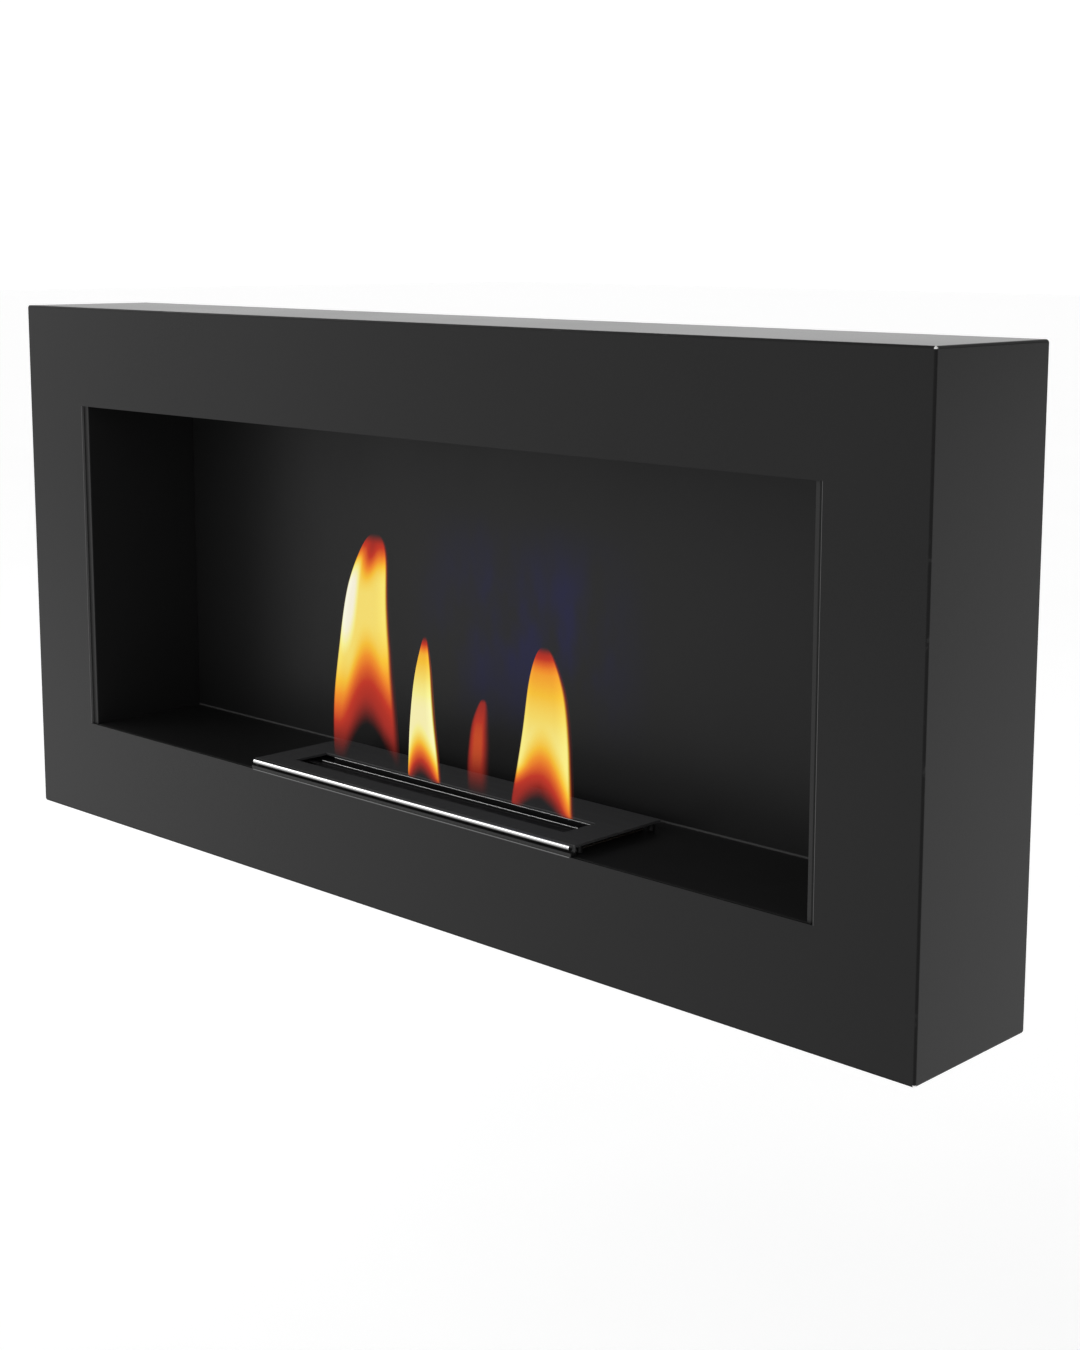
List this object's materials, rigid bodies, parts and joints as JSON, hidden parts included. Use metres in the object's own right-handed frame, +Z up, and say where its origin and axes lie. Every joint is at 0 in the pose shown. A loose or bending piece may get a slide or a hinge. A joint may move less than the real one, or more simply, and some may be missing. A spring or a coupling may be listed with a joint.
{
  "type": "bioethanol fireplace",
  "caption": "Wide flat wall-hung bioethanol fireplace: black folded-steel box with a rectangular firebox recess, a raised slot burner that lifts out and a sliding damper.",
  "frame": {"origin": "middle of the casing's underside", "axes": "+X right along the front, +Y back towards the wall, +Z up; the front looks along -Y"},
  "size_m": [0.9, 0.118, 0.425],
  "materials": {
    "casing_coat": "satin black powder coat",
    "firebox_coat": "matt black heat-resistant paint",
    "burner_coat": "satin black heat-resistant paint",
    "damper_steel": "black steel, bare bright along its upstanding edge",
    "polished_steel": "mirror-polished stainless steel",
    "burner_steel": "brushed stainless steel, heat tinted and sooted",
    "zinc_steel": "zinc-plated steel",
    "ceramic_fibre": "soft white ceramic fibre"
  },
  "bodies": {
    "casing": {"casing_shell": "casing_coat", "firebox_floor": "firebox_coat", "firebox_ceiling": "firebox_coat", "firebox_left_wall": "firebox_coat", "firebox_right_wall": "firebox_coat", "firebox_back_wall": "firebox_coat", "insulation_board": "ceramic_fibre", "rear_panel": "zinc_steel", "hanger_plate_left": "zinc_steel", "hanger_rivet_left_1": "zinc_steel", "hanger_rivet_left_2": "zinc_steel", "hanger_plate_right": "zinc_steel", "hanger_rivet_right_1": "zinc_steel", "hanger_rivet_right_2": "zinc_steel", "rear_panel_screw_1": "zinc_steel", "rear_panel_screw_2": "zinc_steel", "rear_panel_screw_3": "zinc_steel", "rear_panel_screw_4": "zinc_steel", "rear_panel_screw_5": "zinc_steel", "rear_panel_screw_6": "zinc_steel", "rear_panel_screw_7": "zinc_steel", "rear_panel_screw_8": "zinc_steel", "rear_panel_screw_9": "zinc_steel", "rear_panel_screw_10": "zinc_steel", "floor_support_left": "zinc_steel", "floor_support_right": "zinc_steel", "ceiling_tie_left": "zinc_steel", "ceiling_tie_right": "zinc_steel", "drip_tray": "zinc_steel"},
    "burner": {"burner_cover_plate": "burner_coat", "burner_trim_bar": "polished_steel", "cover_spacer_1": "burner_coat", "cover_spacer_2": "burner_coat", "cover_spacer_3": "burner_coat", "cover_spacer_4": "burner_coat", "burner_lid": "burner_steel", "lid_screw_1": "burner_steel", "lid_screw_2": "burner_steel", "lid_screw_3": "burner_steel", "lid_screw_4": "burner_steel", "fuel_reservoir": "burner_steel", "ceramic_wool": "ceramic_fibre", "wool_grid": "burner_steel", "damper_guide_left": "burner_steel", "damper_guide_right": "burner_steel"},
    "damper": {"damper_strip": "damper_steel"}
  },
  "joints": [
    {"name": "burner_lift", "type": "slide", "parent": "casing", "child": "burner", "axis": [0, 0, 1], "range_m": [0, 0.065]},
    {"name": "damper_slide", "type": "slide", "parent": "burner", "child": "damper", "axis": [0, 1, 0], "range_m": [0, 0.0112]}
  ]
}
